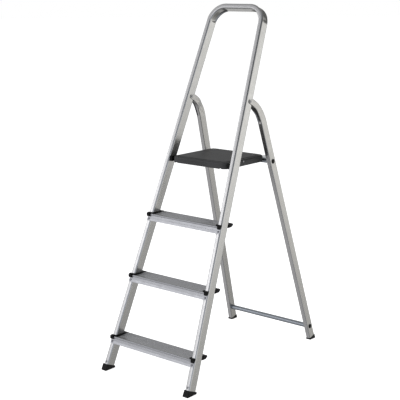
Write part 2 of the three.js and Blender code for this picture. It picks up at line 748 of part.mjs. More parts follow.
// ---------- pivots of the platform on the stiles ----------
function pivotBlock() {
  const outline = [
    [-17, -9], [-13, -12], [14, -12], [17, -8], [17, 8], [13, 11], [-12, 11], [-17, 6],
  ].map(([y, z]) => toLean(PIVOT_Y + y, PIVOT_Z + z));
  const blank = solid(sidePrism(outline, PLATFORM_HALF + 2.4, PLATFORM_HALF + 30));
  const stile = solid(stileBox(PIVOT_S - 60, PIVOT_S + 60, 40, GAP, 30, 30));
  const bore = solid(cylinderX(PIVOT_PIN + GAP, 130, 180, PIVOT_DEPTH, PIVOT_S));
  return geometryOf(blank.subtract(stile).subtract(bore));
}

function pivotPin() {
  const end = innerHalf(PIVOT_S) + STILE_WALL + 4;
  return cylinderX(PIVOT_PIN, PLATFORM_HALF - 9, end, PIVOT_Y, PIVOT_Z, 20);
}
addPair(leaning, 'pivot_block', pivotBlock(), capPlastic);
addPair(root, 'pivot_pin', pivotPin(), rivetSteel);

export default root;
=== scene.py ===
"""Looks of the folding platform steps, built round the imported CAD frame.

Metres, +X to the user's right, +Y to the rear legs, +Z up. Lengths below are in millimetres
and are turned into metres when a piece is made.
"""

import json
import math

import bmesh
import bpy
from mathutils import Matrix, Vector


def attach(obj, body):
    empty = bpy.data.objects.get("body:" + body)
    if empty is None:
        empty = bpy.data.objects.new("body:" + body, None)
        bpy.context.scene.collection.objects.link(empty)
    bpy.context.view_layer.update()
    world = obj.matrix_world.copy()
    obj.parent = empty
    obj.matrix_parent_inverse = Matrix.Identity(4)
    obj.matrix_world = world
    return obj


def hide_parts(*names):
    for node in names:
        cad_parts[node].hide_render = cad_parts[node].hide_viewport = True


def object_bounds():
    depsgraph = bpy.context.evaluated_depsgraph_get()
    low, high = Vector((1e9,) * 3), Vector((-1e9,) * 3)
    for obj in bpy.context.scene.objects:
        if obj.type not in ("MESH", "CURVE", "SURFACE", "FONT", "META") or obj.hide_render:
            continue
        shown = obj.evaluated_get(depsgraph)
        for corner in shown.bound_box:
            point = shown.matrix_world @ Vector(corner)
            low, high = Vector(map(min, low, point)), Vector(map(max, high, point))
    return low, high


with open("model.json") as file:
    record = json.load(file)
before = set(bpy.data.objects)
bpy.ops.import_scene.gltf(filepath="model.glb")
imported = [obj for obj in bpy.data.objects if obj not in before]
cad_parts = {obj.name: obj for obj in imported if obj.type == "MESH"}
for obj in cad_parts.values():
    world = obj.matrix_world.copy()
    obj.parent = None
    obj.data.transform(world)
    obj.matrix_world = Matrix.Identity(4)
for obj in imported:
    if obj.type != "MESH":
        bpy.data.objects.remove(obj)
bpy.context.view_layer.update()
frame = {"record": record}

MM = 0.001
SIDES = (("right", 1), ("left", -1))

# ---------- dimensions shared with the CAD model ----------
FRONT_TO_ORIGIN = 432.8
LEAN = math.radians(22.2)
TAPER = math.radians(3.285)
HALF_BASE = 229
HOOP_HEIGHT = 1572.5
STILE_WIDTH = 21
STILE_DEPTH = 44
STILE_WALL = 1.6
HOOP_BEND = 80
STILE_START = 21.5

TREAD_TOPS = (134.5, 375, 615.5)
TREAD_REAR = 68
TREAD_PLATE = 2.4
TREAD_FLANGE = 12
FASCIA_DROP = 31.3
FASCIA_THICK = 2
LUG_TOP = 10
LUG_INSET = 0.5             # ends of the front plate inside the stiles' outer faces
GROOVES = 10
GROOVE_PITCH = 6.2
GROOVE_WIDTH = 2.2
GROOVE_DEPTH = 0.8
CAP_WEB = 5
CAP_OVERHANG = 1.5
GAP = 0.35
RIVET_HEAD = 4.6
RIVET_SHANK = 2.4
TREAD_RIVET_DROP = 23.4
FOOT_RIVET_HEIGHT = 37

HINGE_Y = 467.3
HINGE_Z = 1078.4
HINGE_PIN = 4
LEG_LEAN = math.radians(16.75)
LEG_TAPER = math.radians(3.394)
LEG_HALF_BASE = 228.5
LEG_FOOT_Y = 850.7
LEG_WIDTH = 20
LEG_DEPTH = 35
LEG_WALL = 1.5
LEG_BEND = math.radians(45)
LEG_BEND_RADIUS = 140
LEG_START = 9.5
LEG_FLARE = 6.5
FLARE_FULL = 50
FLARE_END = 84
FOLD = math.radians(37)
FOLD_MARGIN = math.radians(1.5)
BRACE_RADIUS = 10
BRACE_WALL = 1.5
BORE_GAP = 0.45
TUBE_END = 0.6              # cross tubes past the legs' outer faces
LOWER_BRACE_Z = 61.6
UPPER_TUBE_Z = 822.5
PLATFORM_TOP = 848
PLATFORM_SKIRT = 820
PLATFORM_HALF = 142
PLATFORM_FRONT = 338
PLATFORM_REAR = 605
PLATFORM_WALL = 3
PLATFORM_FRONT_CORNER = 30
PLATFORM_REAR_CORNER = 34
PIVOT_Y = 360
PIVOT_Z = 834
PIVOT_PIN = 4
BRACKET_OUTER = 132.9
BRACKET_THICK = 3
BRACKET_RADIUS = 8.5        # half the bracket's height, and its round front end
HOOK_INSIDE = 10.6
HOOK_OUTSIDE = 15
SIDE_RIVET_Y = 452
SIDE_RIVET_Z = 838

# ---------- dimensions of these finer shapes only ----------
STILE_CORNER = 6
LEG_CORNER = 2.4
TONGUE_RADIUS = 9
NOSE_BACK = GAP + 0.4       # nosing's rear face, in front of the stiles
BLOCK_WIDTH = 15            # tread cap's block, past the end of the nosing

# Colour sockets of a Mix node, which can't be told apart by name.
MIX_A, MIX_B, MIX_RESULT = 6, 7, 2


# ---------- material nodes ----------
class Nodes:
    """The node tree of a material or world, with short calls to add and join nodes."""

    def __init__(self, owner):
        owner.use_nodes = True
        self.owner = owner
        self.tree = owner.node_tree
        self.shader = self.tree.nodes.get("Principled BSDF")

    def add(self, kind, **settings):
        node = self.tree.nodes.new("ShaderNode" + kind)
        for key, value in settings.items():
            setattr(node, key, value)
        return node

    def join(self, source, target):
        self.tree.links.new(source, target)

    def stretched(self, vector, scale):
        node = self.add("Mapping")
        node.inputs["Scale"].default_value = scale
        self.join(vector, node.inputs["Vector"])
        return node.outputs["Vector"]

    def noise(self, vector, scale, detail=3.0, roughness=0.55):
        node = self.add("TexNoise")
        node.inputs["Scale"].default_value = scale
        node.inputs["Detail"].default_value = detail
        node.inputs["Roughness"].default_value = roughness
        self.join(vector, node.inputs["Vector"])
        return node.outputs["Fac"]

    def ramp(self, value, stops):
        node = self.add("ValToRGB")
        elements = node.color_ramp.elements
        while len(elements) < len(stops):
            elements.new(0.5)
        for element, (place, color) in zip(elements, stops):
            element.position = place
            element.color = (*color, 1)
        self.join(value, node.inputs["Fac"])
        return node.outputs["Color"]

    def spread(self, value, low, high, start=0.3, end=0.7):
        """A value that goes from low to high while the given one goes from start to end."""
        node = self.add("MapRange")
        limits = (("From Min", start), ("From Max", end), ("To Min", low), ("To Max", high))
        for key, number in limits:
            node.inputs[key].default_value = number
        self.join(value, node.inputs["Value"])
        return node.outputs["Result"]

    def total(self, first, second):
        node = self.add("Math", operation="ADD")
        self.join(first, node.inputs[0])
        self.join(second, node.inputs[1])
        return node.outputs["Value"]

    def blend(self, share, first, second):
        """Mixes a share of a plain colour, second, into first."""
        node = self.add("Mix", data_type="RGBA")
        self.join(share, node.inputs["Factor"])
        self.join(first, node.inputs[MIX_A])
        node.inputs[MIX_B].default_value = (*second, 1)
        return node.outputs[MIX_RESULT]

    def bump(self, height, strength, distance):
        node = self.add("Bump")
        node.inputs["Strength"].default_value = strength
        node.inputs["Distance"].default_value = distance
        self.join(height, node.inputs["Height"])
        self.join(node.outputs["Normal"], self.shader.inputs["Normal"])


def scaled(color, factor):
    return tuple(min(1.0, c * factor) for c in color)


def aluminium(name, color, roughness, streak=0.035):
    """Extruded metal: fine lines along the bar, slow tonal bands, small rubs and dull spots."""
    n = Nodes(bpy.data.materials.new(name))
    bar = n.add("Attribute", attribute_name="bar").outputs["Vector"]
    place = n.add("TexCoord").outputs["Object"]
    fine = n.noise(n.stretched(bar, (620, 620, 4)), 1.0, 3.0)
    bands = n.noise(n.stretched(bar, (150, 150, 1.2)), 1.0, 2.0)
    rubs = n.noise(place, 42, 4.0, 0.65)
    spots = n.noise(place, 520, 2.0)
    tone = n.ramp(fine, [(0.32, scaled(color, 1 - streak)), (0.68, scaled(color, 1 + streak))])
    banded = n.blend(n.spread(bands, 0.0, 0.55), tone, scaled(color, 0.86))
    worn = n.blend(n.spread(rubs, 0.0, 0.35, 0.56, 0.72), banded, scaled(color, 1.07))
    n.join(worn, n.shader.inputs["Base Color"])
    rough = n.total(n.spread(fine, -0.05, 0.05), n.spread(rubs, roughness + 0.05, roughness - 0.05))
    rough = n.total(rough, n.spread(spots, 0.0, 0.06, 0.55, 0.75))
    n.join(rough, n.shader.inputs["Roughness"])
    n.shader.inputs["Metallic"].default_value = 1.0
    n.bump(n.total(fine, bands), 0.035, 0.0003)
    return n.owner


def plastic(name, color, roughness, grain, bump, gloss):
    """Moulded plastic or rubber: fine spark-eroded grain, cloudy tone and pale scuffs."""
    n = Nodes(bpy.data.materials.new(name))
    place = n.add("TexCoord").outputs["Object"]
    fine = n.noise(place, grain, 2.0, 0.6)
    cloud = n.noise(place, 14, 3.0)
    scuff = n.noise(n.stretched(place, (30, 160, 90)), 1.0, 5.0, 0.7)
    tone = n.ramp(cloud, [(0.35, scaled(color, 0.9)), (0.65, scaled(color, 1.1))])
    speckled = n.blend(n.spread(fine, 0.0, 0.3, 0.5, 0.7), tone, scaled(color, 1.3))
    marked = n.blend(n.spread(scuff, 0.0, 0.25, 0.6, 0.75), speckled, scaled(color, 1.6))
    n.join(marked, n.shader.inputs["Base Color"])
    rough = n.total(n.spread(fine, -0.04, 0.04), n.spread(scuff, roughness, roughness - 0.08))
    n.join(rough, n.shader.inputs["Roughness"])
    n.shader.inputs["Specular IOR Level"].default_value = gloss
    n.bump(fine, bump, 0.0002)
    return n.owner


def turned_steel(name, color, roughness):
    """Small steel pieces: fine pitting and dull patches that are darker and rougher."""
    n = Nodes(bpy.data.materials.new(name))
    place = n.add("TexCoord").outputs["Object"]
    pits = n.noise(place, 1600, 2.0)
    dull = n.noise(place, 210, 3.0)
    tone = n.ramp(dull, [(0.35, scaled(color, 0.8)), (0.65, scaled(color, 1.08))])
    n.join(tone, n.shader.inputs["Base Color"])
    n.join(n.spread(dull, roughness + 0.1, roughness - 0.06), n.shader.inputs["Roughness"])
    n.shader.inputs["Metallic"].default_value = 1.0
    n.bump(pits, 0.08, 0.0002)
    return n.owner


LOOKS = {
    "frame_aluminium": aluminium("frame metal", (0.80, 0.795, 0.78), 0.2),
    "leg_aluminium": aluminium("leg metal", (0.72, 0.71, 0.69), 0.24, 0.05),
    "tread_aluminium": aluminium("tread metal", (0.635, 0.64, 0.655), 0.3),
    "tube_aluminium": aluminium("tube metal", (0.53, 0.57, 0.61), 0.24),
    "rivet_steel": turned_steel("rivet metal", (0.56, 0.56, 0.58), 0.34),
    "bracket_steel": turned_steel("bracket metal", (0.75, 0.77, 0.80), 0.24),
    "black_plastic": plastic("black plastic", (0.004, 0.004, 0.0042), 0.38, 1500, 0.15, 0.22),
    "platform_plastic": plastic("platform plastic", (0.036, 0.036, 0.037), 0.46, 1300, 0.25, 0.4),
    "foot_rubber": plastic("foot rubber", (0.004, 0.004, 0.004), 0.5, 900, 0.2, 0.25),
}


# ---------- meshes ----------
BODY_OF = {
    node: body
    for body, nodes in frame["record"]["behaviour"]["bodies"].items()
    for node in nodes
}


def mirror(bm):
    bmesh.ops.scale(bm, vec=(-1, 1, 1), verts=bm.verts)
    bmesh.ops.reverse_faces(bm, faces=bm.faces)


def along_x(co):
    """A point's place in a bar that lies along X."""
    return Vector((co.y, co.z, co.x))


def finish_mesh(bm, name, node, slot, side=1, bar=None, sharp=35):
    """Turns a bmesh into a piece that stands for a CAD node, mirrored where side is -1.

    bar gives a point's place in its bar, whose length is along Z, for the metal's fine lines.
    """
    if side < 0:
        mirror(bm)
    bmesh.ops.recalc_face_normals(bm, faces=bm.faces)
    if bm.calc_volume(signed=True) < 0:
        bmesh.ops.reverse_faces(bm, faces=bm.faces)
    mesh = bpy.data.meshes.new(name)
    bm.to_mesh(mesh)
    bm.free()
    rows = [bar(v.co) if bar else v.co.copy() for v in mesh.vertices]
    mesh.transform(Matrix.Scale(MM, 4))
    attribute = mesh.attributes.new("bar", "FLOAT_VECTOR", "POINT")
    for item, row in zip(attribute.data, rows):
        item.vector = row * MM
    mesh.shade_smooth()
    mesh.set_sharp_from_angle(angle=math.radians(sharp))
    mesh.materials.append(LOOKS[slot])
    piece = bpy.data.objects.new(name, mesh)
    bpy.context.scene.collection.objects.link(piece)
    flat = piece.modifiers.new("flat faces", "WEIGHTED_NORMAL")
    flat.weight = 100
    flat.keep_sharp = True
    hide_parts(node)
    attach(piece, BODY_OF[node])


def ring_faces(bm, first, second, flip=False):
    count = len(first)
    for i in range(count):
        j = (i + 1) % count
        corners = (first[i], first[j], second[j], second[i])
        bm.faces.new(corners[::-1] if flip else corners)


def tube(outer, inner):
    """A hollow bar from two lists of rings of points, one list for each skin."""
    bm = bmesh.new()
    skins = []
    for rings in (outer, inner):
        skins.append([[bm.verts.new(point) for point in ring] for ring in rings])
    for rings, flip in zip(skins, (False, True)):
        for first, second in zip(rings, rings[1:]):
            ring_faces(bm, first, second, flip)
    for end in (0, -1):
        ring_faces(bm, skins[0][end], skins[1][end], end == 0)
    return bm


def rounded_section(width, depth, radius, along_width, along_depth):
    """Points round a rounded rectangle, with extra points along its straight sides."""
    steps = 5
    quarters = ((1, 1), (-1, 1), (-1, -1), (1, -1))
    points = []
    for quarter, (sx, sy) in enumerate(quarters):
        for i in range(steps + 1):
            angle = (quarter + i / steps) * math.pi / 2
            x = sx * (width / 2 - radius) + radius * math.cos(angle)
            y = sy * (depth / 2 - radius) + radius * math.sin(angle)
            points.append(Vector((x, y)))
        nx, ny = quarters[(quarter + 1) % 4]
        angle = (quarter + 1) * math.pi / 2
        end = Vector((nx * (width / 2 - radius), ny * (depth / 2 - radius)))
        end += Vector((math.cos(angle), math.sin(angle))) * radius
        start = points[-1].copy()
        extra = along_width if quarter % 2 == 0 else along_depth
        for i in range(1, extra + 1):
            points.append(start.lerp(end, i / (extra + 1)))
    return points


def filleted(outline, radius, steps=4):
    """An outline with its corners rounded, less where a side is too short for it."""
    points = [Vector(p) for p in outline]
    rounded = []
    for before, corner, after in zip(points[-1:] + points, points, points[1:] + points[:1]):
        come, leave = corner - before, after - corner
        half = come.angle(leave) / 2
        if half < math.radians(6):
            rounded.append(corner)
            continue
        reach = min(radius * math.tan(half), 0.45 * come.length, 0.45 * leave.length)
        start = corner - come.normalized() * reach
        end = corner + leave.normalized() * reach
        for i in range(steps + 1):
            t = i / steps
            rounded.append(start * (1 - t) ** 2 + corner * 2 * t * (1 - t) + end * t ** 2)
    return rounded


def inset(outline, distance):
    """A closed outline moved inwards by a small distance."""
    count = len(outline)
    area = sum(a.x * b.y - b.x * a.y for a, b in zip(outline[-1:] + outline, outline))
    inward = math.copysign(1, area)
    moved = []
    for i in range(count):
        come = (outline[i] - outline[i - 1]).normalized()
        leave = (outline[(i + 1) % count] - outline[i]).normalized()
        left = Vector((-come.y, come.x))
        middle = (left + Vector((-leave.y, leave.x))).normalized()
        moved.append(outline[i] + middle * (inward * distance / max(0.5, middle.dot(left))))
    return moved


def stacked(rings):
    """A closed solid from rings of points, with a flat face on the first and last."""
    bm = bmesh.new()
    skins = [[bm.verts.new(point) for point in ring] for ring in rings]
    for first, second in zip(skins, skins[1:]):
        ring_faces(bm, first, second)
    bm.faces.new(skins[0][::-1])
    bm.faces.new(skins[-1])
    bmesh.ops.recalc_face_normals(bm, faces=bm.faces)
    return bm


def rounded_prism(outline, low, high, edge, put=lambda x, y, z: (x, y, z), steps=3):
    """A side outline extruded along X, with rounded edges at both ends."""
    turns = [math.pi / 2 * i / steps for i in range(steps + 1)]
    levels = [(low + edge * (1 - math.cos(a)), edge * (1 - math.sin(a))) for a in turns]
    levels += [(high - edge * (1 - math.cos(a)), edge * (1 - math.sin(a))) for a in turns[::-1]]
    return stacked([[put(x, *point) for point in inset(outline, d)] for x, d in levels])


def prism(outline, low, high):
    """A side outline of (y, z) points, extruded along X."""
    return stacked([[(x, y, z) for y, z in outline] for x in (low, high)])


def turned(profile, sides=40):
    """A solid of revolution about X from (x, radius) points that start and end on the axis."""
    bm = bmesh.new()
    poles = [bm.verts.new((profile[0][0], 0, 0)), bm.verts.new((profile[-1][0], 0, 0))]
    rings = []
    for x, radius in profile[1:-1]:
        turns = [2 * math.pi * i / sides for i in range(sides)]
        rings.append([bm.verts.new((x, radius * math.cos(a), radius * math.sin(a))) for a in turns])
    for first, second in zip(rings, rings[1:]):
        ring_faces(bm, first, second)
    for pole, ring in zip(poles, (rings[0], rings[-1])):
        for i in range(sides):
            bm.faces.new((pole, ring[i], ring[(i + 1) % sides]))
    bmesh.ops.recalc_face_normals(bm, faces=bm.faces)
    return bm


def shifted(start, profile):
    """A profile of (x, radius) points moved along X."""
    return [(start + x, radius) for x, radius in profile]


def rod(low, high, radius, y=0.0, z=0.0, sides=40):
    """A plain round bar along X."""
    bm = turned([(low, 0), (low, radius), (high, radius), (high, 0)], sides)
    bm.transform(Matrix.Translation((0, y, z)))
    return bm


def box(x, y, z):
    """A plain block between two limits along each axis."""
    return prism([(y[0], z[0]), (y[1], z[0]), (y[1], z[1]), (y[0], z[1])], *x)


def arc(y, z, radius, start, step, count):
    """Points on a circle round (y, z), from an angle in equal steps, in degrees."""
    turns = [math.radians(start + i * step) for i in range(count)]
    return [(y + radius * math.cos(a), z + radius * math.sin(a)) for a in turns]


def put_at(bm, y, z):
    """Moves a solid to a side point, with y from the stiles' front line on the floor."""
    bm.transform(Matrix.Translation((0, y - FRONT_TO_ORIGIN, z)))


def carve(bm, cutter, operation="DIFFERENCE"):
    """Cuts, joins or keeps the shared part of two bmeshes and returns the result."""
    pair = []
    for part in (bm, cutter):
        mesh = bpy.data.meshes.new("work")
        part.to_mesh(mesh)
        part.free()
        pair.append(bpy.data.objects.new("work", mesh))
        bpy.context.scene.collection.objects.link(pair[-1])
    modifier = pair[0].modifiers.new("cut", "BOOLEAN")
    modifier.operation = operation
    modifier.solver = "EXACT"
    modifier.object = pair[1]
    depsgraph = bpy.context.evaluated_depsgraph_get()
    result = bmesh.new()
    result.from_mesh(pair[0].evaluated_get(depsgraph).to_mesh())
    for work in pair:
        mesh = work.data
        bpy.data.objects.remove(work)
        bpy.data.meshes.remove(mesh)
    return result


def join(*parts):
    """Several closed solids in one bmesh."""
    whole = bmesh.new()
    for part in parts:
        mesh = bpy.data.meshes.new("work")
        part.to_mesh(mesh)
        part.free()
        whole.from_mesh(mesh)
        bpy.data.meshes.remove(mesh)
    return whole


# ---------- the front frame's plane ----------
DEPTH_AXIS = Vector((0, math.cos(LEAN), -math.sin(LEAN)))
RISE_AXIS = Vector((0, math.sin(LEAN), math.cos(LEAN)))
ORIGIN = Vector((0, -FRONT_TO_ORIGIN, 0))


def in_frame(x, depth, rise):
    return ORIGIN + Vector((x, 0, 0)) + DEPTH_AXIS * depth + RISE_AXIS * rise


def to_frame(point):
    local = point - ORIGIN
    return Vector((local.x, local.dot(DEPTH_AXIS), local.dot(RISE_AXIS)))


def outer_half(rise):
    return HALF_BASE - rise * math.tan(TAPER)


def inner_half(rise):
    return outer_half(rise) - STILE_WIDTH / math.cos(TAPER)


def middle_half(rise):
    return (outer_half(rise) + inner_half(rise)) / 2


def bent_line(corners, radius, step):
    """Stations (point, tangent, run, share of bend or None) along a line with rounded corners."""
    points = [Vector(c) for c in corners]
    stations = []
    run = 0.0

    def add(point, tangent, share):
        nonlocal run
        if stations:
            run += (point - stations[-1][0]).length
        stations.append((point.copy(), tangent.copy(), run, share))

    add(points[0], (points[1] - points[0]).normalized(), None)
    for before, corner, after in zip(points, points[1:], points[2:]):
        come = (corner - before).normalized()
        leave = (after - corner).normalized()
        turn = math.atan2(come.x * leave.y - come.y * leave.x, come.dot(leave))
        reach = radius * math.tan(abs(turn) / 2)
        start = corner - come * reach
        side = Vector((-come.y, come.x)) * math.copysign(1, turn)
        centre = start + side * radius
        count = max(4, round(abs(turn) * radius / step))
        for i in range(count + 1):
            angle = turn * i / count
            rotation = Matrix.Rotation(angle, 2)
            add(centre + rotation @ (start - centre), rotation @ come, i / count)
    add(points[-1], (points[-1] - points[-2]).normalized(), None)
    return stations


def smooth(value, low, high):
    t = min(1.0, max(0.0, (value - low) / (high - low)))
    return t * t * (3 - 2 * t)


def bend_dent(side, across, share, length):
    """How far a bend's wall is pressed in: a deep dish on the inside, shallow creases outside."""
    if share is None:
        return 0.0
    dish, crease, ripple = 4.4, 2.0, 0.7
    reach = abs(across) / (STILE_DEPTH / 2)
    edge = min(share, 1 - share) * length
    if side < 0:
        border = 1 + 13 * reach ** 2
        return dish * smooth(edge, border, border + 6) * (1 - smooth(reach, 0.45, 0.86))
    crease += ripple * math.sin(share * length * 0.21 + 0.6)
    return -crease * smooth(edge, 1, 15) * (1 - smooth(reach, 0.25, 0.86))


def hoop():
    bar_rise = HOOP_HEIGHT - STILE_WIDTH / 2
    low, high = middle_half(STILE_START), middle_half(bar_rise)
    corners = [(-low, STILE_START), (-high, bar_rise), (high, bar_rise), (low, STILE_START)]
    radius = HOOP_BEND - STILE_WIDTH / 2
    stations = bent_line(corners, radius, 2.6)
    length = radius * (math.pi / 2 - TAPER)
    skins = []
    for wall in (0, STILE_WALL):
        size = (STILE_WIDTH - 2 * wall, STILE_DEPTH - 2 * wall)
        section = rounded_section(*size, STILE_CORNER - wall, 1, 13)
        rings = []
        for point, tangent, _, share in stations:
            outward = Vector((-tangent.y, tangent.x))
            ring = []
            for w, d in section:
                flat = abs(abs(w) - (STILE_WIDTH / 2 - wall)) < 0.01
                dent = bend_dent(w, d, share, length) if flat else 0.0
                place = point + outward * (w + dent)
                ring.append(in_frame(place.x, d + STILE_DEPTH / 2, place.y))
            rings.append(ring)
        skins.append(rings)
    bm = tube(*skins)

    def along(co):
        local = to_frame(co)
        top = HOOP_HEIGHT - HOOP_BEND
        if local.z < top:
            return Vector((abs(local.x) + local.z * math.tan(TAPER), local.y, local.z))
        return Vector((local.z, local.y, top + outer_half(top) - abs(local.x)))

    finish_mesh(bm, "front_frame_bar", "front_frame", "frame_aluminium", bar=along)


hoop()


# ---------- treads ----------
def on_fascia(drop, forward):
    """A side point down the lean from the tread's top, and forward of the stiles' front."""
    y = -drop * math.sin(LEAN) - forward * math.cos(LEAN)
    z = -drop * math.cos(LEAN) + forward * math.sin(LEAN)
    return (y, z)


def groove(rear):
    """One groove of the tread's top, from its rear lip to its front lip, with rounded lips."""
    front = rear - GROOVE_WIDTH
    depth = GROOVE_DEPTH
    return [
        (rear + 0.35, 0), (rear + 0.12, -0.07), (rear - 0.04, -0.25), (rear - 0.3, -depth + 0.1),
        (rear - 0.5, -depth), (front + 0.5, -depth), (front + 0.3, -depth + 0.1),
        (front + 0.04, -0.25), (front - 0.12, -0.07), (front - 0.35, 0),
    ]


def nosing():
    """Rounded front edge of the tread."""
    return arc(-3.2, -4.4, 4.4, 90, 9, 13)


def at_nose_back(z):
    """The point at a height on the plane where the nosing starts, just clear of the stiles."""
    return on_fascia((NOSE_BACK * math.sin(LEAN) - z) / math.cos(LEAN), NOSE_BACK)


def board_outline():
    """The tread's top plate and rear flange, which lie between the stiles."""
    points = [
        at_nose_back(-TREAD_PLATE),
        (TREAD_REAR - 2, -TREAD_PLATE),
        (TREAD_REAR - 2, -TREAD_FLANGE),
        (TREAD_REAR, -TREAD_FLANGE),
        (TREAD_REAR, -0.8),
        (TREAD_REAR - 0.25, -0.25),
        (TREAD_REAR - 0.8, 0),
    ]
    for i in range(GROOVES):
        points += groove(TREAD_REAR - 3 - i * GROOVE_PITCH)
    return points + [at_nose_back(0)]


def nose_outline():
    """The tread's nosing, in front of the stiles, down to just inside the front plate."""
    face = GAP + FASCIA_THICK
    points = [on_fascia(13, face - 0.6), on_fascia(13, NOSE_BACK), at_nose_back(0)] + nosing()
    return points + [(-6.9, -7.0), on_fascia(9.2, face - 0.3), on_fascia(9.8, face - 0.6)]


def front_plate_outline():
    """The deep front plate, with a shallow groove along its middle."""
    face = GAP + FASCIA_THICK
    middle = (LUG_TOP + FASCIA_DROP) / 2 - 1
    drops = (
        (FASCIA_DROP, GAP + 0.3), (FASCIA_DROP - 0.3, GAP), (LUG_TOP, GAP), (LUG_TOP, face - 0.3),
        (LUG_TOP + 0.3, face), (middle - 0.3, face - 0.6), (middle, face - 1),
        (middle + 1.2, face - 1), (middle + 1.5, face - 0.2), (FASCIA_DROP - 0.4, face),
        (FASCIA_DROP, face - 0.4),
    )
    return [on_fascia(drop, forward) for drop, forward in drops]


def placed(outline, top):
    """An outline drawn from the tread's front top edge, moved to a tread's height."""
    shift = top * math.tan(LEAN) - FRONT_TO_ORIGIN
    return [(y + shift, z + top) for y, z in outline]


def cap_inside(rise):
    """Half width to the inner faces of the caps, clear of the stiles a little above the tread."""
    return inner_half(rise + 6) - CAP_WEB - GAP


def tread(number, top):
    rise = top / math.cos(LEAN)
    half = cap_inside(rise) - GAP
    lug = outer_half(rise) - LUG_INSET
    nose = outer_half(rise) + CAP_OVERHANG - BLOCK_WIDTH - GAP
    body = join(
        prism(placed(board_outline(), top), -half, half),
        prism(placed(nose_outline(), top), -nose, nose),
        prism(placed(front_plate_outline(), top), -lug, lug),
    )
    node = f"tread_{number}"
    finish_mesh(body, f"{node}_board", node, "tread_aluminium", bar=along_x)


def stile_box(low, high, outward, inward, front, rear):
    """Room round a stile between two heights along it, with a margin on each of its faces."""
    rings = []
    for rise in (low, high):
        inner, outer = inner_half(rise) - inward, outer_half(rise) + outward
        near, far = -front, STILE_DEPTH + rear
        corners = ((inner, near), (outer, near), (outer, far), (inner, far))
        rings.append([in_frame(x, depth, rise) for x, depth in corners])
    return stacked(rings)


CAP_OUTLINE = (
    (-12.3, -8.5), (-10.8, -11.4), (-8, -11.4), (-6.4, -8.2), (1, -7.6), (5, -14), (62, -14),
    (73, -6), (71, -1.5), (64, 2), (-1, 5), (-8.5, 4.6), (-12.3, 1.2),
)


def tread_cap(node, top, side):
    """End cap round a stile: a web beside the tread, a lip over its nosing and an end block."""
    rise = top / math.cos(LEAN)
    inner = cap_inside(rise)
    outer = outer_half(rise) + CAP_OVERHANG
    # The nosing's room lies behind the lip, and is open above and below.
    lip, front, high, low = -3.4, -60, 30, -50
    room = [at_nose_back(GAP), (lip, GAP), (lip, high), (front, high), (front, low)]
    room.append(at_nose_back(low))
    fillet, edge = 3.2, 1.2
    outline = [Vector(p) for p in placed(filleted(CAP_OUTLINE, fillet), top)]
    body = rounded_prism(outline, inner, outer, edge)
    body = carve(body, stile_box(rise - 60, rise + 60, 30, GAP, GAP, GAP))
    body = carve(body, prism(placed(room, top), inner - 5, outer - BLOCK_WIDTH))
    finish_mesh(body, f"{node}_moulding", node, "black_plastic", side)


def rivet(node, rise, seat, side):
    """Domed rivet on the front face, with a small pulled centre."""
    tail = -STILE_WALL - 0.6
    head = (
        (0, RIVET_HEAD - 0.15), (0.2, RIVET_HEAD), (0.6, RIVET_HEAD - 0.08), (1.2, 3.7),
        (1.7, 2.5), (1.85, 1.5), (1.45, 1.2), (1.45, 0.6), (1.7, 0.4), (1.75, 0),
    )
    shank = [(tail, 0), (tail, RIVET_SHANK), (seat, RIVET_SHANK)]
    bm = turned(shank + shifted(seat, head), 28)
    axes = Matrix((-DEPTH_AXIS, Vector((1, 0, 0)), RISE_AXIS)).transposed().to_4x4()
    bm.transform(Matrix.Translation(in_frame(side * middle_half(rise), 0, rise)) @ axes)
    finish_mesh(bm, f"{node}_head", node, "rivet_steel")


for number, top in enumerate(TREAD_TOPS, 1):
    tread(number, top)
    rise = top / math.cos(LEAN) - TREAD_RIVET_DROP
    for suffix, side in SIDES:
        rivet(f"tread_{number}_rivet_{suffix}", rise, 2 * GAP + FASCIA_THICK, side)
        tread_cap(f"tread_{number}_cap_{suffix}", top, side)
for suffix, side in SIDES:
    rivet(f"foot_rivet_{suffix}", FOOT_RIVET_HEIGHT, GAP, side)


# ---------- rear legs ----------
# A leg is drawn in its own plane: X from its outer face, Y to the rear and Z up the plane.
def leg_z(z):
    return z / math.cos(LEG_TAPER)


def leg_outer(z):
    return LEG_HALF_BASE - z * math.tan(LEG_TAPER)


def leg_centre_y(z):
    return LEG_FOOT_Y - leg_z(z) * math.tan(LEG_LEAN)


HINGE = Vector((HINGE_Y, leg_z(HINGE_Z)))
LEG_UP = Vector((-math.sin(LEG_LEAN), math.cos(LEG_LEAN)))


def leg_corners(end):
    """The leg's centre line: its foot, its bend and a point past the hinge by end."""
    foot = Vector((LEG_FOOT_Y, 0))
    span = HINGE - foot
    offset = abs(span.x * LEG_UP.y - span.y * LEG_UP.x)
    corner = foot + LEG_UP * (span.dot(LEG_UP) - offset / math.tan(LEG_BEND))
    forward = (HINGE - corner).normalized()
    return [foot + LEG_UP * LEG_START, corner, HINGE + forward * end]


def stile_room(fold):
    """Room for the stile between the leg's side walls, with the leg swung back by fold."""
    far, clear, overlap = 400, 0.9, 0.03
    hinge_depth = HINGE_Y * math.cos(LEAN) - HINGE_Z * math.sin(LEAN)
    face = STILE_DEPTH - hinge_depth + clear
    up = Vector((math.sin(LEAN - fold), math.cos(LEAN - fold)))
    back = Vector((math.cos(LEAN - fold), -math.sin(LEAN - fold)))
    corners = [(-far, -far), (-far, face), (far, face), (far, -far)]
    outline = [HINGE + up * u + back * b for u, b in corners]
    inside = -LEG_WIDTH - LEG_FLARE + LEG_WALL - overlap
    return prism(outline, inside, -LEG_WALL + overlap)


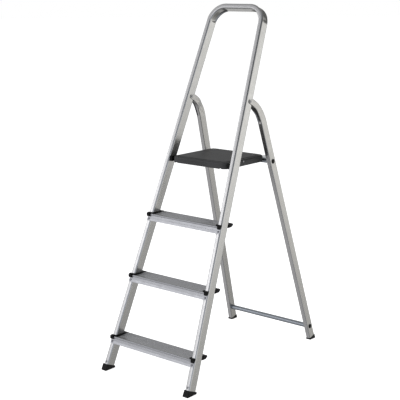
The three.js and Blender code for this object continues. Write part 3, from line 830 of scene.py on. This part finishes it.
def end_outline():
    """Side outline round the whole leg, with a round end about the hinge."""
    margin, past_foot, steps = 3, 20, 24
    stations = bent_line(leg_corners(0), LEG_BEND_RADIUS, 3)
    front, rear = [], []
    for i, (point, tangent, _, _) in enumerate(stations):
        reach = TONGUE_RADIUS if i == len(stations) - 1 else LEG_DEPTH / 2 + margin
        base = point - tangent * (past_foot if i == 0 else 0)
        side = Vector((-tangent.y, tangent.x)) * reach
        front.append(base + side)
        rear.append(base - side)
    point, tangent = stations[-1][:2]
    round_end = []
    for i in range(1, steps):
        angle = math.pi / 2 - i * math.pi / steps
        across = Vector((-tangent.y, tangent.x)) * math.sin(angle)
        round_end.append(point + (tangent * math.cos(angle) + across) * TONGUE_RADIUS)
    return front + round_end + rear[::-1]


def leg_press(w, d, share, length):
    """Dish inside the leg's bend and faint dents in its side walls: (across, outwards)."""
    if share is None:
        return 0.0, 0.0
    dish, dent = 3.4, 0.8
    edge = min(share, 1 - share) * length
    if d > LEG_DEPTH / 2 - 2:
        reach = abs(w) / (LEG_WIDTH / 2)
        border = 2 + 6 * reach
        depth = dish * smooth(edge, border, 8 + 6 * reach)
        return -depth * (1 - smooth(reach, 0.4, 0.85)), 0.0
    run = share * length
    ripple = math.sin(run * 0.21 + d * 0.13) * math.sin(run * 0.083 - d * 0.21)
    return 0.0, dent * ripple * smooth(edge, 0, 20) * (1 - smooth(abs(d), 9, 14))


def rear_leg_body():
    """A hollow bar with open room for the stile at its top, a round tongue and two bores."""
    stations = bent_line(leg_corners(TONGUE_RADIUS + 2), LEG_BEND_RADIUS, 3.2)
    length = LEG_BEND * LEG_BEND_RADIUS
    pinch = 0.8
    skins = []
    for wall in (0, LEG_WALL):
        size = (LEG_WIDTH - 2 * wall, LEG_DEPTH - 2 * wall)
        section = rounded_section(*size, LEG_CORNER - wall, 7, 7)
        rings = []
        for point, tangent, _, share in stations:
            across = Vector((-tangent.y, tangent.x))
            # Near the hinge, the underside lies only half as far from the centre line.
            lower = 1 - 0.5 * (1 - smooth((point - HINGE).length, 30, 105))
            ring = []
            for w, d in section:
                inwards, outwards = leg_press(w, d + wall, share, length)
                place = point + across * ((d + inwards) * (lower if d > 0 else 1))
                reach = (place - HINGE).length
                spread = LEG_FLARE * (1 - smooth(reach, FLARE_FULL, FLARE_END)) if w < 0 else 0
                side = w - math.copysign(abs(outwards), w) * (abs(w) > LEG_WIDTH / 2 - wall - 0.1)
                if wall == 0:
                    side -= math.copysign(pinch * (1 - smooth(reach, 25, 70)), w)
                ring.append(Vector((side - LEG_WIDTH / 2 - spread, place.x, place.y)))
            rings.append(ring)
        skins.append(rings)
    body = tube(*skins)
    bmesh.ops.recalc_face_normals(body, faces=body.faces)
    body = carve(body, stile_room(0))
    body = carve(body, stile_room(FOLD + FOLD_MARGIN))
    body = carve(body, prism(end_outline(), -60, 20), "INTERSECT")
    for z in (LOWER_BRACE_Z, UPPER_TUBE_Z):
        bore = rod(-45, 25, BRACE_RADIUS + BORE_GAP, sides=64)
        turn = Matrix.Rotation(LEG_TAPER, 4, "Y")
        bore.transform(Matrix.Translation((0, leg_centre_y(z), leg_z(z))) @ turn)
        body = carve(body, bore)
    return body


LEG_LINE = bent_line(leg_corners(0), LEG_BEND_RADIUS, 6)


def leg_run(place):
    """A side point's place by the leg's centre line: (distance across, distance along)."""
    best = None
    for (a, _, run, _), (b, _, _, _) in zip(LEG_LINE, LEG_LINE[1:]):
        edge = b - a
        share = min(1.0, max(0.0, (place - a).dot(edge) / edge.length_squared))
        gap = place - (a + edge * share)
        if best is None or gap.length < best[0]:
            across = (edge.x * gap.y - edge.y * gap.x) / edge.length
            best = (gap.length, across, run + share * edge.length)
    return best[1:]


def rear_leg(suffix, side):
    node = f"rear_leg_{suffix}"
    bm = rear_leg_body()
    tilt = Matrix.Rotation(-LEG_TAPER, 4, "Y")
    place = Matrix.Translation((LEG_HALF_BASE, -FRONT_TO_ORIGIN, 0)) @ tilt
    back = place.inverted()
    bm.transform(place)

    def along(co):
        local = back @ Vector((side * co.x, co.y, co.z))
        across, run = leg_run(Vector((local.y, local.z)))
        return Vector((local.x, across, run))

    finish_mesh(bm, f"{node}_bar", node, "leg_aluminium", side, along)


def hinge_pin(suffix, side):
    """Rivet through the tongue and the stile: low dome inside, flat head with a dimple outside."""
    node = f"hinge_pin_{suffix}"
    inner = leg_outer(HINGE_Z) - LEG_WIDTH - LEG_FLARE - 0.1
    outer = leg_outer(HINGE_Z) + 0.4
    inside = ((-1.4, 0), (-1.35, 2.6), (-1.1, 3.9), (-0.5, 4.9), (0, 5.2), (0, HINGE_PIN))
    outside = (
        (0, HINGE_PIN), (0, 5.4), (0.2, 5.6), (0.6, 5.5), (0.85, 5.1), (0.9, 4.7), (0.9, 2.0),
        (0.6, 1.6), (0.6, 0),
    )
    bm = turned(shifted(inner, inside) + shifted(outer, outside))
    put_at(bm, HINGE_Y, HINGE_Z)
    finish_mesh(bm, f"{node}_rivet", node, "rivet_steel", side)


def cross_tube(node, z):
    half = leg_outer(z) + TUBE_END
    turns = [2 * math.pi * i / 64 for i in range(64)]
    skins = []
    for radius in (BRACE_RADIUS, BRACE_RADIUS - BRACE_WALL):
        circle = [(radius * math.cos(a), radius * math.sin(a)) for a in turns]
        skins.append([[Vector((x, *point)) for point in circle] for x in (-half, half)])
    bm = tube(*skins)
    put_at(bm, leg_centre_y(z), z)
    finish_mesh(bm, f"{node}_bar", node, "tube_aluminium", bar=along_x)


def tube_plug(node, z, side):
    inside = BRACE_RADIUS - BRACE_WALL - GAP
    profile = (
        (-12, 0), (-12, inside - 0.8), (-11.2, inside), (GAP, inside), (GAP, 9.0), (0.6, 9.2),
        (1.3, 9.0), (2.1, 7.6), (2.5, 6.0), (2.6, 4.6), (2.1, 4.2), (2.0, 0),
    )
    bm = turned(shifted(leg_outer(z) + TUBE_END, profile))
    put_at(bm, leg_centre_y(z), z)
    finish_mesh(bm, f"{node}_cap", node, "black_plastic", side)


for suffix, side in SIDES:
    rear_leg(suffix, side)
    hinge_pin(suffix, side)
    tube_plug(f"lower_brace_plug_{suffix}", LOWER_BRACE_Z, side)
    tube_plug(f"upper_tube_plug_{suffix}", UPPER_TUBE_Z, side)
cross_tube("lower_brace", LOWER_BRACE_Z)
cross_tube("upper_cross_tube", UPPER_TUBE_Z)


# ---------- feet, platform and its fittings ----------
def side_rivet(suffix, side):
    """Rivet through the platform's skirt and the bracket, with a domed head."""
    node = f"platform_rivet_{suffix}"
    tail = BRACKET_OUTER - BRACKET_THICK
    face = PLATFORM_HALF + GAP
    shank = [(tail, 0), (tail, RIVET_SHANK), (face, RIVET_SHANK)]
    head = ((0, 4.4), (0.2, RIVET_HEAD), (0.7, 4.4), (1.3, 3.5), (1.75, 2.0), (1.9, 0))
    bm = turned(shank + shifted(face, head), 28)
    put_at(bm, SIDE_RIVET_Y, SIDE_RIVET_Z)
    finish_mesh(bm, f"{node}_head", node, "rivet_steel", side)


def to_lean(y, z):
    """A side point as (depth, rise) in the front frame's plane."""
    depth = y * math.cos(LEAN) - z * math.sin(LEAN)
    return Vector((depth, y * math.sin(LEAN) + z * math.cos(LEAN)))


def front_foot(suffix, side):
    node = f"front_foot_{suffix}"
    lap, top = 2.5, 27
    outline = [
        to_lean(-4.5, 0), to_lean(50.5, 0),
        Vector((STILE_DEPTH + lap, top)), Vector((-lap, top)),
    ]
    middle, half = middle_half(15), STILE_WIDTH / 2 + 3
    body = rounded_prism(filleted(outline, 2.6), middle - half, middle + half, 1.8, in_frame)
    body = carve(body, stile_box(STILE_START - 1.2, 60, GAP, GAP, GAP, GAP))
    finish_mesh(body, f"{node}_moulding", node, "foot_rubber", side)


def rear_foot(suffix, side):
    """Thin cap on the end of a rear leg, cut level on the floor."""
    node = f"rear_foot_{suffix}"
    lap, sole, far = 1.6, -3, 60

    def along(run, across):
        point = Vector((LEG_FOOT_Y, 0)) + LEG_UP * run
        return point + Vector((math.cos(LEG_LEAN), math.sin(LEG_LEAN))) * across

    half = LEG_DEPTH / 2
    foot = half / math.cos(LEG_LEAN) + 1.8
    top = LEG_START + 2.5
    pad = [
        Vector((LEG_FOOT_Y - foot, sole)), Vector((LEG_FOOT_Y + foot, sole)),
        along(top, half + lap), along(top, -half - lap),
    ]
    body = rounded_prism(filleted(pad, 1.5), -LEG_WIDTH - lap, lap, 1.0)
    seat, reach = LEG_START - GAP, half + GAP
    socket = [along(seat, -reach), along(seat, reach), along(far, reach), along(far, -reach)]
    body = carve(body, prism(socket, -LEG_WIDTH - GAP, GAP))
    body.transform(Matrix.Translation((LEG_HALF_BASE, 0, 0)) @ Matrix.Rotation(-LEG_TAPER, 4, "Y"))
    body = carve(body, box((100, 300), (700, 1000), (-40, 0)))
    put_at(body, 0, 0)
    finish_mesh(body, f"{node}_moulding", node, "foot_rubber", side)


PIVOT_RISE = to_lean(PIVOT_Y, PIVOT_Z).y
BLOCK_OUTLINE = (
    (-17, -9), (-13, -12), (14, -12), (17, -8), (17, 8), (13, 11), (-12, 11), (-17, 6),
)


def pivot_block(suffix, side):
    """Moulded block between the platform's side and the stile, which it laps on the inside."""
    node = f"pivot_block_{suffix}"
    outline = [to_lean(PIVOT_Y + y, PIVOT_Z + z) for y, z in BLOCK_OUTLINE]
    inner, outer = PLATFORM_HALF + 2.4, PLATFORM_HALF + 30
    body = rounded_prism(filleted(outline, 2.5), inner, outer, 1.0, in_frame)
    body = carve(body, stile_box(PIVOT_RISE - 60, PIVOT_RISE + 60, 40, GAP, 30, 30))
    body = carve(body, rod(130, 180, PIVOT_PIN + GAP, PIVOT_Y - FRONT_TO_ORIGIN, PIVOT_Z))
    finish_mesh(body, f"{node}_moulding", node, "black_plastic", side)


def pivot_pin(suffix, side):
    node = f"pivot_pin_{suffix}"
    low, high = PLATFORM_HALF - 9, inner_half(PIVOT_RISE) + STILE_WALL + 4
    start = ((0, 0), (0, 3.6), (0.4, PIVOT_PIN))
    end = ((-0.4, PIVOT_PIN), (0, 3.6), (0, 0))
    bm = turned(shifted(low, start) + shifted(high, end), 36)
    put_at(bm, PIVOT_Y, PIVOT_Z)
    finish_mesh(bm, f"{node}_rod", node, "rivet_steel", side)


# Holes along X for the pivot pin and the side rivet: (y, z, radius).
HOLES = (
    (PIVOT_Y, PIVOT_Z, PIVOT_PIN + GAP),
    (SIDE_RIVET_Y, SIDE_RIVET_Z, RIVET_SHANK + GAP),
)


def bracket(suffix, side):
    """Flat bar inside the platform's skirt, with a hook over the upper cross tube."""
    node = f"platform_bracket_{suffix}"
    tube_y, tube_z = leg_centre_y(UPPER_TUBE_Z), UPPER_TUBE_Z
    points = arc(PIVOT_Y, PIVOT_Z, BRACKET_RADIUS, 90, 15, 13)
    points.append((tube_y - 14, PIVOT_Z - BRACKET_RADIUS))
    points += arc(tube_y, tube_z, HOOK_INSIDE, 158, -9.875, 17)
    points += [
        (tube_y + HOOK_INSIDE, tube_z - 3), (tube_y + HOOK_OUTSIDE, tube_z - 3),
        (tube_y + HOOK_OUTSIDE, tube_z + 12), (tube_y + 9, PIVOT_Z + BRACKET_RADIUS),
    ]
    outline = [Vector((y - FRONT_TO_ORIGIN, z)) for y, z in points]
    body = rounded_prism(outline, BRACKET_OUTER - BRACKET_THICK, BRACKET_OUTER, 0.3, steps=2)
    for y, z, radius in HOLES:
        body = carve(body, rod(120, 150, radius, y - FRONT_TO_ORIGIN, z))
    finish_mesh(body, f"{node}_bar", node, "bracket_steel", side)


def plan_outline():
    """The platform's outline from above, from its front right corner round to its front left."""
    steps = 9
    front = (PLATFORM_FRONT, PLATFORM_FRONT_CORNER, 1)
    rear = (PLATFORM_REAR, PLATFORM_REAR_CORNER, -1)
    points = []
    for side, end, start in ((1, front, -90), (1, rear, 0), (-1, rear, 90), (-1, front, 180)):
        y, radius, inward = end
        centre = Vector((side * (PLATFORM_HALF - radius), y + inward * radius))
        for i in range(steps + 1):
            angle = math.radians(start + i * 90 / steps)
            points.append(centre + Vector((math.cos(angle), math.sin(angle))) * radius)
    return points


def platform():
    """Moulded tray turned upside down: skirt, rounded edge, flat rim, raised standing area."""
    top, skirt, wall = PLATFORM_TOP, PLATFORM_SKIRT, PLATFORM_WALL
    step_in, edge = 0.35, 7
    levels = [
        (wall, top - 6), (wall, skirt + 0.6), (wall - 0.6, skirt), (0.6, skirt),
        (0, skirt + 0.6), (0, top - 11.6), (step_in, top - 11), (step_in, top - 9.6),
    ]
    for i in range(9):
        angle = math.radians(i * 11.25)
        levels.append((step_in + edge * (1 - math.cos(angle)), top - 9 + edge * math.sin(angle)))
    levels += [(12, top - 1.9), (12.6, top - 1.8), (13.4, top - 1.2), (14.4, top - 0.3)]
    levels.append((15.4, top))
    outline = plan_outline()
    body = stacked([[(x, y, z) for x, y in inset(outline, d)] for d, z in levels])
    for x in (-40, 40):
        rib = box((x - 1.5, x + 1.5), (340, 573), (top - 16, top - 5))
        body = carve(body, rib, "UNION")
    tube_y, tube_z = leg_centre_y(UPPER_TUBE_Z), UPPER_TUBE_Z
    room = rod(-200, 200, 11, tube_y, tube_z, 64)
    way_out = prism([
        (tube_y - 9.9, tube_z + 4.7), (tube_y - 23, tube_z - 22),
        (tube_y + 10, tube_z - 22), (tube_y + 10, tube_z),
    ], -200, 200)
    body = carve(carve(body, room), way_out)
    notch_x, notch_half = 114, 4.5
    reach = BRACKET_THICK / 2 + GAP
    for side in (1, -1):
        for y, z, radius in HOLES:
            low, high = sorted((side * (PLATFORM_HALF - 8), side * 150))
            body = carve(body, rod(low, high, radius, y, z))
        middle = side * notch_x
        notch = box(
            (middle - notch_half, middle + notch_half),
            (PLATFORM_FRONT - 5, PLATFORM_FRONT + 9), (skirt - 2.5, skirt + 2.5),
        )
        body = carve(body, notch)
        middle = side * (BRACKET_OUTER - BRACKET_THICK / 2)
        slot = box(
            (middle - reach, middle + reach),
            (PLATFORM_REAR - 25, PLATFORM_REAR + 25), (PIVOT_Z - 17.15, PIVOT_Z + 8.85),
        )
        body = carve(body, slot)
    put_at(body, 0, 0)
    finish_mesh(body, "platform_moulding", "platform", "platform_plastic", sharp=30)


for suffix, side in SIDES:
    front_foot(suffix, side)
    rear_foot(suffix, side)
    pivot_block(suffix, side)
    pivot_pin(suffix, side)
    bracket(suffix, side)
    side_rivet(suffix, side)
platform()


# ---------- studio ----------
def studio_floor():
    radius, below, glow = 40, 0.0005, 0.9
    mesh = bpy.data.meshes.new("floor")
    bm = bmesh.new()
    bmesh.ops.create_circle(bm, cap_ends=True, segments=96, radius=radius)
    bm.to_mesh(mesh)
    bm.free()
    floor = bpy.data.objects.new("floor", mesh)
    bpy.context.scene.collection.objects.link(floor)
    floor.location.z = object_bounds()[0][2] - below
    n = Nodes(bpy.data.materials.new("studio floor"))
    n.shader.inputs["Base Color"].default_value = (0.9, 0.9, 0.9, 1)
    n.shader.inputs["Roughness"].default_value = 0.9
    n.shader.inputs["Emission Color"].default_value = (1, 1, 1, 1)
    n.shader.inputs["Emission Strength"].default_value = glow
    mesh.materials.append(n.owner)
    floor.visible_glossy = False


# Light from round the object by elevation in degrees, which the quarters below take over.
TOWARD_VIEWER_TINT = (0.92, 0.98, 1.1)
TOWARD_VIEWER = [
    (-90, 0.03), (-60, 0.1), (-45, 0.22), (-30, 0.26), (-15, 0.24), (0, 0.3), (8, 0.5), (15, 0.52),
    (19, 0.48), (22, 0.26), (25, 0.1), (30, 0.05), (42, 0.12), (60, 0.3), (90, 0.3),
]
# Bearing from +X, half widths of the whole quarter and of its full part, tint, and light.
QUARTERS = (
    (-132, 54, 22, (0.985, 0.99, 1.035), [
        (-90, 0.03), (-58, 0.05), (-50, 0.34), (-45, 0.45), (-36, 0.5), (-30, 0.42), (-15, 0.4),
        (0, 0.5), (11, 0.64), (15, 0.96), (18, 1.36), (21, 1.45), (23.5, 0.92), (26.5, 0.52),
        (32, 0.5), (40, 0.4), (55, 0.14), (90, 0.3),
    ]),
    (52, 68, 24, (1.0, 0.995, 0.975), [
        (-90, 0.05), (-62, 0.2), (-50, 0.16), (-38, 0.22), (-25, 0.33), (-19, 0.39), (-14, 0.5),
        (-10, 0.7), (-6, 0.84), (-2, 0.92), (2, 0.8), (9, 0.3), (18, 0.13), (45, 0.14), (90, 0.3),
    ]),
    (140, 56, 26, (1, 1, 1), [
        (-90, 0.03), (-55, 0.05), (-42, 0.2), (-34, 0.52), (-26, 0.56), (-12, 0.45), (0, 0.32),
        (8, 0.32), (12, 0.34), (17, 0.42), (22, 0.42), (40, 0.42), (90, 0.3),
    ]),
    (95, 34, 12, (1, 1, 1), [
        (-90, 0.1), (-68, 0.34), (-50, 0.36), (-35, 0.5), (-18, 0.46), (-6, 0.42), (4, 0.36),
        (12, 0.12), (24, 0.12), (45, 0.16), (90, 0.3),
    ]),
)


def studio_world():
    """White to the camera, and the lights above to everything else."""
    n = Nodes(bpy.data.worlds.new("studio"))
    bpy.context.scene.world = n.owner
    n.tree.nodes.clear()

    def by_height(tint, stops):
        return n.ramp(share.outputs["Result"], [
            ((math.sin(math.radians(elevation)) + 1) / 2, [light * c for c in tint])
            for elevation, light in stops
        ])

    direction = n.add("TexCoord").outputs["Generated"]
    height = n.add("SeparateXYZ")
    n.join(direction, height.inputs[0])
    share = n.add("MapRange")
    share.inputs["From Min"].default_value = -1
    share.inputs["From Max"].default_value = 1
    n.join(height.outputs["Z"], share.inputs["Value"])
    level = n.add("VectorMath", operation="MULTIPLY")
    level.inputs[1].default_value = (1, 1, 0)
    n.join(direction, level.inputs[0])
    bearing = n.add("VectorMath", operation="NORMALIZE")
    n.join(level.outputs["Vector"], bearing.inputs[0])

    light = by_height(TOWARD_VIEWER_TINT, TOWARD_VIEWER)
    for degrees, outer, inner, tint, stops in QUARTERS:
        turn = math.radians(degrees)
        dot = n.add("VectorMath", operation="DOT_PRODUCT")
        dot.inputs[1].default_value = (math.cos(turn), math.sin(turn), 0)
        n.join(bearing.outputs["Vector"], dot.inputs[0])
        weight = n.add("MapRange", interpolation_type="SMOOTHSTEP")
        weight.inputs["From Min"].default_value = math.cos(math.radians(outer))
        weight.inputs["From Max"].default_value = math.cos(math.radians(inner))
        n.join(dot.outputs["Value"], weight.inputs["Value"])
        mix = n.add("Mix", data_type="RGBA")
        n.join(weight.outputs["Result"], mix.inputs["Factor"])
        n.join(light, mix.inputs[MIX_A])
        n.join(by_height(tint, stops), mix.inputs[MIX_B])
        light = mix.outputs[MIX_RESULT]

    studio = n.add("Background")
    n.join(light, studio.inputs["Color"])
    backdrop = n.add("Background")
    backdrop.inputs["Color"].default_value = (1, 1, 1, 1)
    choose = n.add("MixShader")
    n.join(n.add("LightPath").outputs["Is Camera Ray"], choose.inputs["Fac"])
    n.join(studio.outputs[0], choose.inputs[1])
    n.join(backdrop.outputs[0], choose.inputs[2])
    output = n.add("OutputWorld")
    n.join(choose.outputs[0], output.inputs["Surface"])


def soft_light(name, place, aim, size, power):
    light = bpy.data.lights.new(name, "AREA")
    light.shape = "SQUARE"
    light.size = size
    light.energy = power
    lamp = bpy.data.objects.new(name, light)
    bpy.context.scene.collection.objects.link(lamp)
    lamp.location = place
    lamp.rotation_euler = (Vector(aim) - Vector(place)).to_track_quat("-Z", "Y").to_euler()
    lamp.visible_glossy = False


CAMERA_PLACE = Vector((2.57684, -3.1728, 1.54538))
CAMERA_YAW = math.radians(39.78)
CAMERA_PITCH = math.radians(-12.05)
CAMERA_ROLL = math.radians(-0.16)
LENS = 91.53
SHIFT = (-0.00175, -0.005)
SENSOR_WIDTH = 36
FAR_CLIP = 200


def camera():
    forward = Vector((
        -math.sin(CAMERA_YAW) * math.cos(CAMERA_PITCH),
        math.cos(CAMERA_YAW) * math.cos(CAMERA_PITCH),
        math.sin(CAMERA_PITCH),
    ))
    right = forward.cross(Vector((0, 0, 1))).normalized()
    up = right.cross(forward)
    turned_right = right * math.cos(CAMERA_ROLL) + up * math.sin(CAMERA_ROLL)
    turned_up = up * math.cos(CAMERA_ROLL) - right * math.sin(CAMERA_ROLL)
    data = bpy.data.cameras.new("camera")
    data.sensor_width = SENSOR_WIDTH
    data.lens = LENS
    data.shift_x, data.shift_y = SHIFT
    data.clip_end = FAR_CLIP
    view = bpy.data.objects.new("camera", data)
    basis = Matrix((turned_right, turned_up, -forward)).transposed().to_4x4()
    view.matrix_world = Matrix.Translation(CAMERA_PLACE) @ basis
    bpy.context.scene.collection.objects.link(view)
    bpy.context.scene.camera = view


studio_floor()
studio_world()
soft_light("key light", (-2.2, -3.4, 3.6), (0, 0, 0.7), 2.4, 70)
soft_light("top light", (0.6, 0.3, 4.2), (0, 0, 0.5), 3.0, 45)
camera()
bpy.context.scene.view_settings.view_transform = "Standard"
